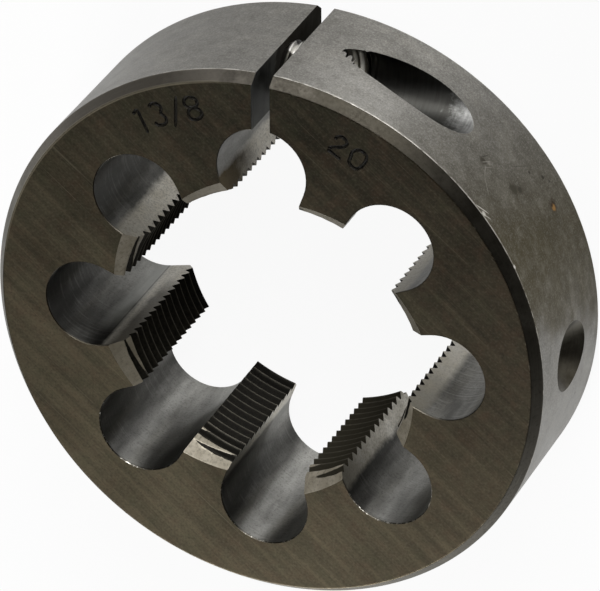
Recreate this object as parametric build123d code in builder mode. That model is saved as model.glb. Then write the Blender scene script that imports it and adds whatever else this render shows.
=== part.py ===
from build123d import *
import math
import os

# Split adjustable round threading die for a 1 3/8 inch thread with 20 threads per inch.
# It lies on its back face: origin at the centre of that face, +Z along the thread's axis
# towards the marked face, and the split at +Y. Sizes are millimetres.

# Blank
outer_radius = 31.75
thickness = 19.05
rim_chamfer_radial = 0.93
rim_chamfer_axial = 1.2

# Thread: the bore here is the crest of the thread that the lands carry
crest_radius = 16.78
front_lead_radius = 18.45
front_lead_depth = 2.35
back_lead_radius = 17.6
back_lead_depth = 0.9

# Chip holes and the lands that they leave between them
chip_hole_count = 8
chip_hole_radius = 5.1
chip_circle_radius = 20.5
heel_half_angle = 7.9
cutting_half_angle = 9.0

# Split and its adjusting screw, whose axis crosses the split
split_width = 2.0
screw_rim_depth = 3.7
screw_face_depth = 9.95
screw_radius = 3.12
screw_clearance = 0.06
screw_length = 8.2
screw_point_length = 2.72
screw_point_radius = 0.4
screw_point_reach = 2.2
screw_head_chamfer = 0.4
screw_slot_width = 1.0
screw_slot_depth = 1.3
point_seat_gap = 0.14
tapped_length = 6.0
pocket_radius = 3.35

# Conical holding dimples at a quarter turn from the split, on both sides
dimple_mouth_radius = 4.1
dimple_depth = 4.1

parts_folder = "parts"
os.makedirs(parts_folder, exist_ok=True)


def tangent_from(tip_x, tip_y):
    """Point where the line from a land's edge touches the chip hole, with the hole's centre at 0, 0."""
    distance = math.hypot(tip_x, tip_y)
    spread = math.acos(min(1.0, chip_hole_radius / distance))
    side = 1 if tip_y > 0 else -1
    angle = math.atan2(tip_y, tip_x) - side * spread
    return chip_hole_radius * math.cos(angle), chip_hole_radius * math.sin(angle)


def flank_line(half_angle, side):
    """Two points of a land's flank: where it leaves the chip hole, and a point inside the bore."""
    turn = math.radians(180 / chip_hole_count - half_angle)
    tip_x = crest_radius * math.cos(turn) - chip_circle_radius
    tip_y = side * crest_radius * math.sin(turn)
    start_x, start_y = tangent_from(tip_x, tip_y)
    reach = 1.25
    end_x = start_x + reach * (tip_x - start_x)
    end_y = start_y + reach * (tip_y - start_y)
    return (start_x, start_y), (end_x, end_y)


# Die body: a turned ring with chip holes, a split, the screw's hole and two dimples
half_split = split_width / 2
screw_axis_y = outer_radius - screw_rim_depth
screw_axis_z = thickness - screw_face_depth
tapped_end = half_split + tapped_length
bore_radius = screw_radius + screw_clearance
outer_leg = outer_radius - rim_chamfer_radial
point_slope = (screw_radius - screw_point_radius) / screw_point_length
point_seat_radius = screw_point_radius + point_slope * screw_point_reach + point_seat_gap
point_seat_depth = point_seat_radius / point_slope
# A land's cutting edge ends its flank clockwise from the hole, its heel ends the other flank
cutting_start, cutting_end = flank_line(cutting_half_angle, -1)
heel_start, heel_end = flank_line(heel_half_angle, 1)

with BuildPart() as die_body:
    with BuildSketch(Plane.XZ) as ring_section:
        with BuildLine():
            Polyline(
                (back_lead_radius, 0),
                (outer_leg, 0),
                (outer_radius, rim_chamfer_axial),
                (outer_radius, thickness - rim_chamfer_axial),
                (outer_leg, thickness),
                (front_lead_radius, thickness),
                (crest_radius, thickness - front_lead_depth),
                (crest_radius, back_lead_depth),
                close=True,
            )
        make_face()
    revolve(axis=Axis.Z)
    with BuildSketch() as chip_holes:
        with PolarLocations(chip_circle_radius, chip_hole_count, start_angle=90):
            Circle(chip_hole_radius)
            Polygon((0, 0), cutting_start, cutting_end, heel_end, heel_start, align=None)
    extrude(amount=thickness, mode=Mode.SUBTRACT)
    with BuildSketch() as split:
        split_length = outer_radius + split_width - chip_circle_radius
        with Locations((0, chip_circle_radius + split_length / 2)):
            Rectangle(split_width, split_length)
    extrude(amount=thickness, mode=Mode.SUBTRACT)
    with BuildSketch(Plane.YZ) as tapped_hole:
        with Locations((screw_axis_y, screw_axis_z)):
            Circle(bore_radius)
    extrude(amount=tapped_end, mode=Mode.SUBTRACT)
    with BuildSketch(Plane.YZ.offset(tapped_end)) as pocket:
        with Locations((screw_axis_y, screw_axis_z)):
            Circle(pocket_radius)
    extrude(amount=outer_radius, mode=Mode.SUBTRACT)
    with BuildSketch(Plane.XY.offset(screw_axis_z)) as point_seat:
        with BuildLine():
            Polyline(
                (-half_split, screw_axis_y),
                (-half_split, screw_axis_y + point_seat_radius),
                (-half_split - point_seat_depth, screw_axis_y),
                close=True,
            )
        make_face()
    revolve(axis=Axis((0, screw_axis_y, screw_axis_z), (1, 0, 0)), mode=Mode.SUBTRACT)
    for side in (-1, 1):
        with BuildSketch(Plane.XY.offset(thickness / 2)) as dimple:
            with BuildLine():
                Polyline(
                    (side * outer_radius, 0),
                    (side * outer_radius, dimple_mouth_radius),
                    (side * (outer_radius - dimple_depth), 0),
                    close=True,
                )
            make_face()
        revolve(axis=Axis((0, 0, thickness / 2), (1, 0, 0)), mode=Mode.SUBTRACT)
die_body.part.label = "die_body"
export_step(die_body.part, os.path.join(parts_folder, "die_body.step"))

# Adjusting screw: a slotted set screw whose cone point bears in a seat in the split's far wall
point_x = -half_split - screw_point_reach
head_x = point_x + screw_length

with BuildPart() as adjusting_screw:
    with BuildSketch(Plane.XY.offset(screw_axis_z)) as screw_section:
        with BuildLine():
            Polyline(
                (point_x, screw_axis_y),
                (point_x, screw_axis_y + screw_point_radius),
                (point_x + screw_point_length, screw_axis_y + screw_radius),
                (head_x - screw_head_chamfer, screw_axis_y + screw_radius),
                (head_x, screw_axis_y + screw_radius - screw_head_chamfer),
                (head_x, screw_axis_y),
                close=True,
            )
        make_face()
    revolve(axis=Axis((0, screw_axis_y, screw_axis_z), (1, 0, 0)))
    with BuildSketch(Plane.YZ.offset(head_x)) as screw_slot:
        with Locations((screw_axis_y, screw_axis_z)):
            Rectangle(3 * screw_radius, screw_slot_width)
    extrude(amount=-screw_slot_depth, mode=Mode.SUBTRACT)
adjusting_screw.part.label = "adjusting_screw"
export_step(adjusting_screw.part, os.path.join(parts_folder, "adjusting_screw.step"))
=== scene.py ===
import math

import bmesh
import bpy
import numpy as np
from mathutils import Matrix


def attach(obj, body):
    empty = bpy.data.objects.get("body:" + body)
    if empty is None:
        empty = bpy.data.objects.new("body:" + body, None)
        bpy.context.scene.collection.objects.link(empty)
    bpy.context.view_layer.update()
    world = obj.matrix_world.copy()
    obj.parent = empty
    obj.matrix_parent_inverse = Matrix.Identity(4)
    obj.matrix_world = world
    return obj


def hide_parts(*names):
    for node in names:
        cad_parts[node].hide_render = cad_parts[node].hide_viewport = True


# Split round threading die on its back face. Lengths are millimetres until a mesh is written.
# +Z is the thread's axis towards the stamped face, and the split is at +Y.

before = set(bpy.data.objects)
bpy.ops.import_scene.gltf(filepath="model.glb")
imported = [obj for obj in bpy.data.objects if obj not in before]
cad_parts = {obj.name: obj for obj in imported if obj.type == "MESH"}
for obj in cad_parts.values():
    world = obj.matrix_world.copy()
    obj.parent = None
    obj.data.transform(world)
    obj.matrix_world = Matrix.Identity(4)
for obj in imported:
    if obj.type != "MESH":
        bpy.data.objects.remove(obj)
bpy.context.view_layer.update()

# Blank
OUTER_RADIUS = 31.75
THICKNESS = 19.05
CHAMFER_RADIAL = 0.93
CHAMFER_AXIAL = 1.2
EDGE_BREAK = 0.08
CORNER_BREAK = 0.1
CORNER_ROWS = 7
RIM_ROWS = 10

# Thread that the lands carry, and the leads at its two ends
PITCH = 1.27
CREST_RADIUS = 16.78
ROOT_RADIUS = 17.5
CREST_SHARE = 0.055
ROOT_SHARE = 0.44
CHAMFER_SLOPE = 1.24
CHAMFER_AT_HEEL = 18.95
CHAMFER_AT_CUTTING_EDGE = 17.94
LEAD_SLOPE = 0.32
LEAD_AT_HEEL = 17.83
LEAD_AT_CUTTING_EDGE = 17.3
BACK_LEAD_RADIUS = 17.6
BACK_LEAD_SLOPE = 0.911

# Chip holes and lands: angles are degrees, and each land's are counted from its own middle
HOLES = 8
HOLE_RADIUS = 5.1
HOLE_CIRCLE = 20.5
HEEL_ANGLE = 7.9
CUTTING_ANGLE = 9.0
SPLIT_ANGLE = 90.0

# Columns of the wall's grid in a hole's arc, a flank and a land, and the degrees of rim beside the first two
ARC_COLUMNS, FLANK_COLUMNS, LAND_COLUMNS = 15, 3, 17
ARC_RIM_ANGLE, FLANK_RIM_ANGLE = 16.0, 1.5
# The grid stops this far from the split's middle, inside the slab that is cut away
SPLIT_INSET = 0.5
# Values of the lead and flank attributes off the lands, on the lands and off the wall
NO_LEAD, ON_LAND, OFF_WALL = -1.0, 3.0, -9.0
# Points nearer than this are one
JOIN_METRES = 2e-7

# Split, adjusting screw and the holes it sits in
SPLIT_WIDTH = 2.0
SCREW_Y = 28.05
SCREW_Z = 9.1
SCREW_RADIUS = 3.12
SCREW_PITCH = 0.8
SCREW_TIP_X = -3.2
SCREW_TIP_RADIUS = 0.4
SCREW_END_X = 5.0
SLOT_WIDTH = 1.0
SLOT_DEPTH = 1.3
BORE_RADIUS = 3.18
TAPPED_RADIUS = 3.28
TAPPED_END_X = 7.05
POCKET_RADIUS = 3.35
SEAT_APEX_X = -3.74
DIMPLE_RADIUS = 4.1
DIMPLE_DEPTH = 4.1

# Material slots of the body's mesh, in order
FACE, RIM, CHAMFER, HOLE, FLANK, LAND, SPLIT, BORE, DIMPLE, STAMP, BACK = range(11)


# Thread, leads and lands


def thread_radius(angle, z):
    """Radius of the die's thread: by the pitch fraction from the nearest crest's middle it is flat at the crest
    up to the crest share, straight to the root share, and flat at the root. The crest climbs a pitch a turn."""
    turn = z / PITCH - angle / 360
    away = np.abs(turn - np.round(turn))
    flank = np.clip((away - CREST_SHARE) / (ROOT_SHARE - CREST_SHARE), 0, 1)
    return CREST_RADIUS + flank * (ROOT_RADIUS - CREST_RADIUS)


def lead_radius(land_angle, z):
    """Radius of the lead cones, the largest of three. The front ones, a steep chamfer and a shallow lead,
    fall with depth below the stamped face, and their radii at the face run in lines from the heel's to the
    cutting edge's. The back one falls with height above the back face."""
    share = (land_angle + HEEL_ANGLE) / (HEEL_ANGLE + CUTTING_ANGLE)
    depth = THICKNESS - z
    chamfer = CHAMFER_AT_HEEL + share * (CHAMFER_AT_CUTTING_EDGE - CHAMFER_AT_HEEL) - CHAMFER_SLOPE * depth
    lead = LEAD_AT_HEEL + share * (LEAD_AT_CUTTING_EDGE - LEAD_AT_HEEL) - LEAD_SLOPE * depth
    back = BACK_LEAD_RADIUS - BACK_LEAD_SLOPE * z
    return np.maximum(np.maximum(chamfer, lead), back)


def land_radius(angle, land_angle, z):
    """Radius of a land's inner surface: the larger of the thread and the leads."""
    return np.maximum(thread_radius(angle, z), lead_radius(land_angle, z))


def tangent_point(tip, centre, side):
    """Point where the line from a land's edge touches the chip hole: the hole's centre plus its radius along
    the direction of the edge turned by the arc cosine of radius over distance."""
    away = tip - centre
    spread = math.acos(HOLE_RADIUS / math.hypot(*away))
    angle = math.atan2(away[1], away[0]) - side * spread
    return centre + HOLE_RADIUS * np.array([math.cos(angle), math.sin(angle)])


def on_circle(radius, degrees):
    """Point or points on a circle about the axis."""
    a = np.radians(degrees)
    return np.stack([radius * np.cos(a), radius * np.sin(a)], -1)


def inward_along(start, direction, radius):
    """Point where a line from start first meets a circle about the axis: the smaller root of the quadratic."""
    along = start @ direction
    reach = -along - np.sqrt(along ** 2 - start @ start + radius ** 2)
    return start + reach[..., None] * direction


def thread_rows():
    """Heights of the rows of the inner wall at the split's angle, from one turn's climb below the back face:
    the corners of the thread's profile, with more rows between them where the leads cut the thread."""
    coarse = np.array([-CREST_SHARE, CREST_SHARE, 0.25, ROOT_SHARE, 1 - ROOT_SHARE, 0.75])
    fine = np.sort(np.concatenate([coarse, [0, 0.15, 0.345, 0.5, 0.655, 0.85]]))
    last = THICKNESS / PITCH
    turns = range(-2, math.ceil(last) + 1)
    return np.concatenate([(t + (fine if t < 2 or t > last - 4.5 else coarse)) * PITCH for t in turns])


def hole_arc(centre, flank_start, middle, shares, at_split):
    """Plan points of a hole's arc, at shares of the way from its middle angle to where a flank leaves it, and
    their distance along the wall from there, below zero. At the split the middle point is set aside."""
    away = flank_start - centre
    sweep = (math.atan2(away[1], away[0]) - middle + math.pi) % (2 * math.pi) - math.pi
    turn = sweep * shares
    if at_split:
        turn[shares == 0] = math.copysign(math.asin(SPLIT_INSET / HOLE_RADIUS), sweep)
    points = centre + on_circle(HOLE_RADIUS, np.degrees(turn + middle))
    return points[:, None], HOLE_RADIUS * abs(sweep) * (shares - 1)[:, None]


def sector_columns(start_angle, rows, first_sector, last_sector):
    """Inner wall over one eighth of the turn, from the middle of a chip hole to the next one's: hole arc,
    heel flank, land, cutting flank, hole arc. Every column climbs with the thread, and the heights are held
    between the two faces. Gives the points, the finish of each column, the lead field, the azimuth of each
    column's rim, the edge field and the flank field, which is the distance along the wall from where a flank
    leaves its hole, below zero in the hole."""
    step = 360 / HOLES
    heel = step / 2 - HEEL_ANGLE
    cutting = step / 2 + CUTTING_ANGLE
    near_centre = on_circle(HOLE_CIRCLE, 0)
    far_centre = on_circle(HOLE_CIRCLE, step)
    heel_start = tangent_point(on_circle(CREST_RADIUS, heel), near_centre, 1)
    cutting_start = tangent_point(on_circle(CREST_RADIUS, cutting), far_centre, -1)

    arc = np.linspace(0, 1, ARC_COLUMNS, endpoint=False)
    flank = np.linspace(0, 1, FLANK_COLUMNS, endpoint=False)
    outward = flank + 1 / FLANK_COLUMNS
    land = np.linspace(0, 1, LAND_COLUMNS)
    climb_angle = np.concatenate([
        arc * heel,
        np.full(FLANK_COLUMNS, heel),
        heel + land * (cutting - heel),
        np.full(FLANK_COLUMNS, cutting),
        cutting + (step - cutting) * (1 - arc[::-1]),
    ])
    z = rows + PITCH * (start_angle - SPLIT_ANGLE + climb_angle)[:, None] / 360
    z = np.clip(z, EDGE_BREAK, THICKNESS - EDGE_BREAK)

    def land_edge(start, angle, heights):
        """Where a flank's line meets the land's surface, and the angle: each radius gives the next angle."""
        way = on_circle(CREST_RADIUS, angle) - start
        way /= np.linalg.norm(way)
        degrees = np.full(heights.shape, float(angle))
        for _ in range(4):
            radius = land_radius(start_angle + degrees, degrees - step / 2, heights)
            point = inward_along(start, way, radius)
            degrees = np.degrees(np.arctan2(point[:, 1], point[:, 0]))
        return point, degrees

    a = ARC_COLUMNS
    b = a + FLANK_COLUMNS
    c = b + LAND_COLUMNS
    d = c + FLANK_COLUMNS
    heel_edge, from_angle = land_edge(heel_start, heel, z[b])
    cutting_edge, to_angle = land_edge(cutting_start, cutting, z[c])
    heel_line = heel_edge - heel_start
    cutting_line = cutting_start - cutting_edge
    degrees = from_angle + land[:, None] * (to_angle - from_angle)

    plan = np.zeros((*z.shape, 2))
    along = np.full(z.shape, ON_LAND)
    plan[:a], along[:a] = hole_arc(near_centre, heel_start, 0.0, arc, first_sector)
    plan[a:b] = heel_start + flank[:, None, None] * heel_line
    along[a:b] = flank[:, None] * np.linalg.norm(heel_line, axis=1)
    plan[b:c] = on_circle(land_radius(start_angle + degrees, degrees - step / 2, z[b:c]), degrees)
    plan[c:d] = cutting_edge + outward[:, None, None] * cutting_line
    along[c:d] = (1 - outward)[:, None] * np.linalg.norm(cutting_line, axis=1)
    plan[d:], along[d:] = hole_arc(far_centre, cutting_start, math.radians(step), arc[::-1], last_sector)

    lead = np.full(z.shape, NO_LEAD)
    lead[b:c] = lead_radius(degrees - step / 2, z[b:c]) - thread_radius(start_angle + degrees, z[b:c])
    edge = np.zeros(z.shape)
    edge[[b, c - 1]] = 1
    finish = np.full(len(z), HOLE)
    finish[a:d - 1] = FLANK
    finish[b:c - 1] = LAND

    beside = ARC_RIM_ANGLE + FLANK_RIM_ANGLE
    rim_angle = np.concatenate([
        arc * ARC_RIM_ANGLE,
        ARC_RIM_ANGLE + flank * FLANK_RIM_ANGLE,
        beside + land * (step - 2 * beside),
        step - beside + outward * FLANK_RIM_ANGLE,
        step - arc[::-1] * ARC_RIM_ANGLE,
    ])
    inset = math.degrees(math.asin(SPLIT_INSET / OUTER_RADIUS))
    if first_sector:
        rim_angle[0] = inset
    if last_sector:
        rim_angle[-1] = step - inset

    turn = math.radians(start_angle)
    x = plan[..., 0] * math.cos(turn) - plan[..., 1] * math.sin(turn)
    y = plan[..., 0] * math.sin(turn) + plan[..., 1] * math.cos(turn)
    return np.stack([x, y, z], -1), finish, lead, start_angle + rim_angle, edge, along


def offset_into_steel(points, distance):
    """Closed plan outline moved into the steel: each point goes along the bisector of its neighbours'
    directions by the distance over the cosine of half the turn, at most 1.5 times the distance."""
    before = points - np.roll(points, 1, 0)
    after = np.roll(points, -1, 0) - points
    before /= np.linalg.norm(before, axis=1)[:, None]
    after /= np.linalg.norm(after, axis=1)[:, None]
    normal = np.stack([before[:, 1] + after[:, 1], -before[:, 0] - after[:, 0]], -1)
    normal /= np.linalg.norm(normal, axis=1)[:, None]
    cosine = np.abs(normal[:, 0] * after[:, 1] - normal[:, 1] * after[:, 0])
    return points + normal * (distance / np.maximum(cosine, 0.67))[:, None]


def rounded_section(corners):
    """Radius and height down a turned section: each corner becomes a curve of five points whose two ends lie
    the corner break before and after it, with a further point beyond each end that keeps the flats flat."""
    rows = []
    t = np.linspace(0, 1, CORNER_ROWS - 2)[:, None]
    for before, corner, after in zip(corners, corners[1:], corners[2:]):
        back = (before - corner) / np.linalg.norm(before - corner) * CORNER_BREAK
        on = (after - corner) / np.linalg.norm(after - corner) * CORNER_BREAK
        rows += [corner + 2.2 * back, *(corner + back * (1 - t) ** 2 + on * t ** 2), corner + 2.2 * on]
    return np.array(rows)


def lifted(plan, height):
    """Points of a plan at one height, or each at its own."""
    return np.concatenate([plan, np.broadcast_to(height, plan.shape[:-1])[..., None]], -1)


def place_object(name, data, axes=np.eye(3), origin=(0, 0, 0)):
    """Object at a point in metres, whose own axes are the columns of a matrix."""
    placed = bpy.data.objects.new(name, data)
    matrix = np.eye(4)
    matrix[:3, :3] = axes
    matrix[:3, 3] = origin
    placed.matrix_world = Matrix(matrix.tolist())
    bpy.context.scene.collection.objects.link(placed)
    return placed


def write_mesh(name, points, faces, finishes):
    """Object with the points, given in millimetres, the faces, and a finish number for each face."""
    mesh = bpy.data.meshes.new(name)
    mesh.from_pydata((np.asarray(points) / 1000).tolist(), [], faces)
    mesh.polygons.foreach_set("material_index", np.asarray(finishes, np.int32))
    mesh.update()
    return place_object(name, mesh)


def tube_faces(columns, count, closed=False):
    """Faces of a grid of looped columns, whose point number is column times count plus row: four-sided ones
    between columns, and a many-sided cap at both ends where the columns don't close on themselves."""
    c = np.arange(columns if closed else columns - 1)[:, None]
    r = np.arange(count)
    c2, r2 = (c + 1) % columns, (r + 1) % count
    faces = np.stack([c * count + r, c * count + r2, c2 * count + r2, c2 * count + r], -1)
    faces = faces.reshape(-1, 4).tolist()
    if not closed:
        faces += [list(range(count))[::-1], list(range((columns - 1) * count, columns * count))]
    return faces


def join_and_tidy(piece):
    """Joins points that coincide, leaves out faces of no area and turns every face outwards."""
    work = bmesh.new()
    work.from_mesh(piece.data)
    bmesh.ops.remove_doubles(work, verts=work.verts, dist=JOIN_METRES)
    bmesh.ops.dissolve_degenerate(work, edges=work.edges, dist=JOIN_METRES)
    bmesh.ops.recalc_face_normals(work, faces=work.faces)
    if work.calc_volume(signed=True) < 0:
        bmesh.ops.reverse_faces(work, faces=work.faces)
    work.to_mesh(piece.data)
    work.free()
    return piece


def die_blank():
    """Whole ring as one closed grid, carried round the axis: up the inner wall, out over the stamped face, down
    the rim with its two chamfers, and back in under the back face. Three fields go with it: how far the lead
    stands outside the thread, where an edge is worn, and the distance along the wall from a flank's start."""
    rows = thread_rows()
    sectors = [
        sector_columns(SPLIT_ANGLE + k * 360 / HOLES, rows, k == 0, k == HOLES - 1)
        for k in range(HOLES)
    ]
    # The last column of a sector is the first one of the next
    inner, finish, lead, rim_angle, edge, along = (
        np.concatenate([part[:-1] for part in parts[:-1]] + [parts[-1]])
        for parts in zip(*sectors)
    )

    leg = OUTER_RADIUS - CHAMFER_RADIAL
    section = rounded_section(np.array([
        [leg - 3, THICKNESS], [leg, THICKNESS], [OUTER_RADIUS, THICKNESS - CHAMFER_AXIAL],
        [OUTER_RADIUS, CHAMFER_AXIAL], [leg, 0], [leg - 3, 0],
    ]))
    middle = len(section) // 2
    rim_rows = np.linspace(section[middle - 1], section[middle], RIM_ROWS + 2)[1:-1]
    section = np.vstack([section[:middle], rim_rows, section[middle:]])
    outer = lifted(section[:, :1] * on_circle(1.0, rim_angle)[:, None], section[:, 1])

    def face_rings(wall_end, rim_start, height):
        """Rings over a face from the wall's end, moved into the steel by the edge break, to the rim's start."""
        outline = offset_into_steel(wall_end, EDGE_BREAK)
        shares = np.array([0, 0.06, 0.3, 0.62, 0.9])[:, None]
        return lifted(outline[:, None] + shares * (rim_start - outline)[:, None], height)

    front = face_rings(inner[:, -1, :2], outer[:, 0, :2], THICKNESS)
    back = face_rings(inner[:, 0, :2], outer[:, -1, :2], 0.0)[:, ::-1]
    grid = np.concatenate([inner, front, outer, back], 1)
    columns, count = grid.shape[:2]
    wall_rows = inner.shape[1]
    first_outer = wall_rows + front.shape[1]

    row = np.tile(np.arange(count), columns - 1)
    finishes = np.where(row < wall_rows, np.repeat(finish[:-1], count), FACE)
    worn = np.zeros((columns, count))
    worn[:, :wall_rows] = edge
    worn[:, [0, wall_rows - 1, wall_rows, -1]] = 1
    corners = np.array([0, CORNER_ROWS, len(section) - 2 * CORNER_ROWS, len(section) - CORNER_ROWS])
    for corner, beyond in zip(first_outer + corners, (CHAMFER, RIM, CHAMFER, BACK)):
        finishes[row >= corner + CORNER_ROWS // 2] = beyond
        worn[:, corner + 1:corner + CORNER_ROWS - 1] = 1
    lead_field = np.full((columns, count), NO_LEAD)
    lead_field[:, :wall_rows] = lead
    lead_field[:, wall_rows] = lead[:, -1]
    flank_field = np.full((columns, count), OFF_WALL)
    flank_field[:, :wall_rows] = along
    flank_field[:, [wall_rows, -1]] = along[:, [-1, 0]]

    # The two caps lie in the split, where its cutter takes them away
    faces = tube_faces(columns, count)
    piece = write_mesh("die_body_steel", grid.reshape(-1, 3), faces, [*finishes, SPLIT, SPLIT])
    for name, field in (("lead", lead_field), ("edge", worn), ("flank", flank_field)):
        attribute = piece.data.attributes.new(name, "FLOAT", "POINT")
        attribute.data.foreach_set("value", field.reshape(-1).astype(np.float32))
    return join_and_tidy(piece)


# Solids that are cut away, and the screw


def capped_solid(name, rings, finish, closed=False):
    """Closed solid through rings of points, either a loop of rings or with a many-sided cap at both ends."""
    faces = tube_faces(*rings.shape[:2], closed)
    return join_and_tidy(write_mesh(name, rings.reshape(-1, 3), faces, np.full(len(faces), finish)))


def turned_solid(name, along, radii, finish, segments, wave=None, centre=(SCREW_Y, SCREW_Z)):
    """Solid turned about a line parallel to X, by default the screw's axis: rings of points at the given
    places and radii. A wave adds to the radius by angle and place, as a thread does."""
    theta = np.linspace(0, 2 * math.pi, segments, endpoint=False)
    along = np.asarray(along, float)[:, None]
    radius = np.asarray(radii, float)[:, None] + (0 if wave is None else wave(theta, along))
    y = centre[0] + radius * np.cos(theta)
    z = centre[1] + radius * np.sin(theta)
    return capped_solid(name, np.stack([np.broadcast_to(along, y.shape), y, z], -1), finish)


def prism(name, outline, from_y, to_y, finish):
    """Solid with one outline, in X and Z, from one Y to another."""
    rings = np.stack([np.insert(outline, 1, y, axis=1) for y in (from_y, to_y)])
    return capped_solid(name, rings, finish)


def rise(value, length):
    """Straight line from nothing where the value is zero to one where it is the length, held at both ends."""
    return np.clip(value / length, 0, 1)


def ridge(theta, along, pitch, depth, phase=0.0):
    """Change of radius for a right-hand screw thread about +X: by the place less the climb, one pitch a turn,
    the ridge is full within a tenth of a pitch and falls in a straight line to nothing at four tenths."""
    turn = along / pitch - theta / (2 * math.pi) + phase
    away = np.abs(turn - np.round(turn))
    return -depth * rise(0.4 - away, 0.3)


def split_cutter():
    """Slab as wide as the split from its chip hole out past the rim, flared a little at both faces."""
    half, top, flare = SPLIT_WIDTH / 2, THICKNESS, EDGE_BREAK
    outline = np.array([
        [half, flare], [half, top - flare], [half + flare, top], [half + flare, top + 1],
        [-half - flare, top + 1], [-half - flare, top], [-half, top - flare], [-half, flare],
        [-half - flare, 0], [-half - flare, -1], [half + flare, -1], [half + flare, 0],
    ])
    return prism("split_cutter", outline, 22.0, 34.0, SPLIT)


def tapped_hole_cutter():
    """Hole for the screw from inside the split to the pocket, with thread ridges where the screw leaves it
    bare. They are torn away where the rim is thinnest, between -40 and 0 degrees about the screw's axis."""
    bare = SCREW_END_X + 0.1
    along = np.concatenate([[0.0, bare], np.linspace(bare + 0.06, TAPPED_END_X, 44), [TAPPED_END_X + 0.05]])
    radii = BORE_RADIUS + rise(along - bare, 0.15) * (TAPPED_RADIUS - BORE_RADIUS)

    def wave(theta, x):
        """Ridges past the screw's end, left where the rim is thick."""
        degrees = (np.degrees(theta) + 180) % 360 - 180
        left = np.maximum(rise(degrees, 12), rise(-40 - degrees, 15))
        return left * rise(x - bare - 0.02, 0.2) * ridge(theta, x, SCREW_PITCH, 0.4, 0.045)

    return turned_solid("tapped_hole_cutter", along, radii, BORE, 96, wave)


def pocket_cutter():
    """Drilled pocket from the tapped hole out through the rim, with a shallow ring left by the tap."""
    start = TAPPED_END_X
    along = np.concatenate([[start], np.linspace(start + 0.1, start + 1.1, 14), [14, 21, 34]])

    def wave(theta, x):
        """One low ridge that fades within a millimetre of the start."""
        fade = rise(start + 1.0 - x, 0.3) * rise(x - start, 0.1)
        return fade * ridge(theta, x, SCREW_PITCH, 0.14, -0.265)

    return turned_solid("pocket_cutter", along, np.full(len(along), POCKET_RADIUS), BORE, 144, wave)


def stroke_cutter(name, path, closed):
    """Groove of a stamped stroke: a rounded section carried along the path on the face. Where the path isn't
    a loop, the section shrinks to 0.8 and 0.35 of its size at the last two points of both ends."""
    ring = path[:-1] if closed else path
    ahead = np.roll(ring, -1, 0) - np.roll(ring, 1, 0)
    if not closed:
        ahead[0], ahead[-1] = ring[1] - ring[0], ring[-1] - ring[-2]
    ahead /= np.linalg.norm(ahead, axis=1)[:, None]
    side = np.stack([-ahead[:, 1], ahead[:, 0]], -1)
    across = np.array([-1.25, -1.0, -0.62, -0.25, 0.25, 0.62, 1.0, 1.25]) * STROKE_WIDTH / 2
    lip, low = 0.25 * STROKE_WIDTH, -0.72 * STROKE_DEPTH
    down = np.array([lip, 0, low, -STROKE_DEPTH, -STROKE_DEPTH, low, 0, lip])
    scale = np.ones(len(ring))
    if not closed:
        scale[[0, -1]] = 0.35
        scale[[1, -2]] = 0.8
    plan = ring[:, None] + (across[None, :] * scale[:, None])[..., None] * side[:, None]
    height = THICKNESS + down[None, :] * np.where(down[None, :] < 0, scale[:, None], 1)
    return capped_solid(name, lifted(plan, height), STAMP, closed)


def smooth_path(points, closed):
    """Curve through the points: each span of seven steps blends its four neighbours by cubic weights."""
    p = np.asarray(points, float)
    ends = (p[-1:], p[:2]) if closed else (2 * p[:1] - p[1:2], 2 * p[-1:] - p[-2:-1])
    p = np.vstack([ends[0], p, ends[1]])
    t = np.linspace(0, 1, 7, endpoint=False)[:, None, None]
    a, b, c, d = p[:-3], p[1:-2], p[2:-1], p[3:]
    curve = 2 * b + (c - a) * t + (2 * a - 5 * b + 4 * c - d) * t ** 2 + (3 * b - a - 3 * c + d) * t ** 3
    curve = (0.5 * curve).transpose(1, 0, 2).reshape(-1, 2)
    return np.vstack([curve, curve[:1] if closed else p[-2:-1]])


# Paths of the stamped thread size, left of the split, and of the threads per inch, right of it
STROKES = {
    "one_flag": [(-14.73, 24.54), (-14.5, 24.92), (-14.28, 25.2)],
    "one_stem": [(-14.36, 25.22), (-14.05, 24.83), (-13.75, 24.17), (-13.41, 23.52), (-13.0, 22.6)],
    "three_upper": [
        (-12.89, 25.73), (-12.66, 26.16), (-12.2, 26.36), (-11.68, 26.25), (-11.45, 25.84),
        (-11.56, 25.36),
    ],
    "three_lower": [
        (-11.66, 25.36), (-11.18, 25.12), (-10.86, 24.77), (-10.93, 24.24), (-11.37, 23.94),
        (-11.84, 23.87), (-12.23, 24.1),
    ],
    "bar": [(-9.73, 27.75), (-9.76, 25.83), (-9.8, 24.0)],
    "eight_upper": [
        (-8.13, 27.89), (-7.55, 27.88), (-7.27, 27.46), (-7.42, 27.0), (-7.9, 26.72), (-8.4, 26.72),
        (-8.74, 27.0), (-8.78, 27.43), (-8.56, 27.76),
    ],
    "eight_lower": [
        (-7.9, 26.66), (-7.3, 26.76), (-6.84, 26.5), (-6.72, 26.1), (-7.05, 25.6), (-7.6, 25.36),
        (-8.08, 25.47), (-8.28, 25.9), (-8.2, 26.4),
    ],
    "two_body": [
        (8.41, 26.33), (8.79, 26.67), (9.26, 26.78), (9.67, 26.49), (9.83, 26.05), (9.5, 25.68),
        (9.03, 25.5), (8.1, 25.3), (7.7, 25.06),
    ],
    "two_foot": [(7.56, 24.93), (8.01, 24.72), (8.58, 24.34), (9.1, 24.06)],
    "nought": [
        (10.46, 25.25), (10.96, 25.54), (11.52, 25.55), (11.95, 25.18), (12.02, 24.66),
        (11.77, 24.14), (11.35, 23.58), (10.84, 23.31), (10.39, 23.49), (10.05, 23.93),
        (10.19, 24.44), (10.35, 24.97),
    ],
}
LOOPS = ("eight_upper", "eight_lower", "nought")
STROKE_WIDTH = 0.42
STROKE_DEPTH = 0.16


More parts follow.
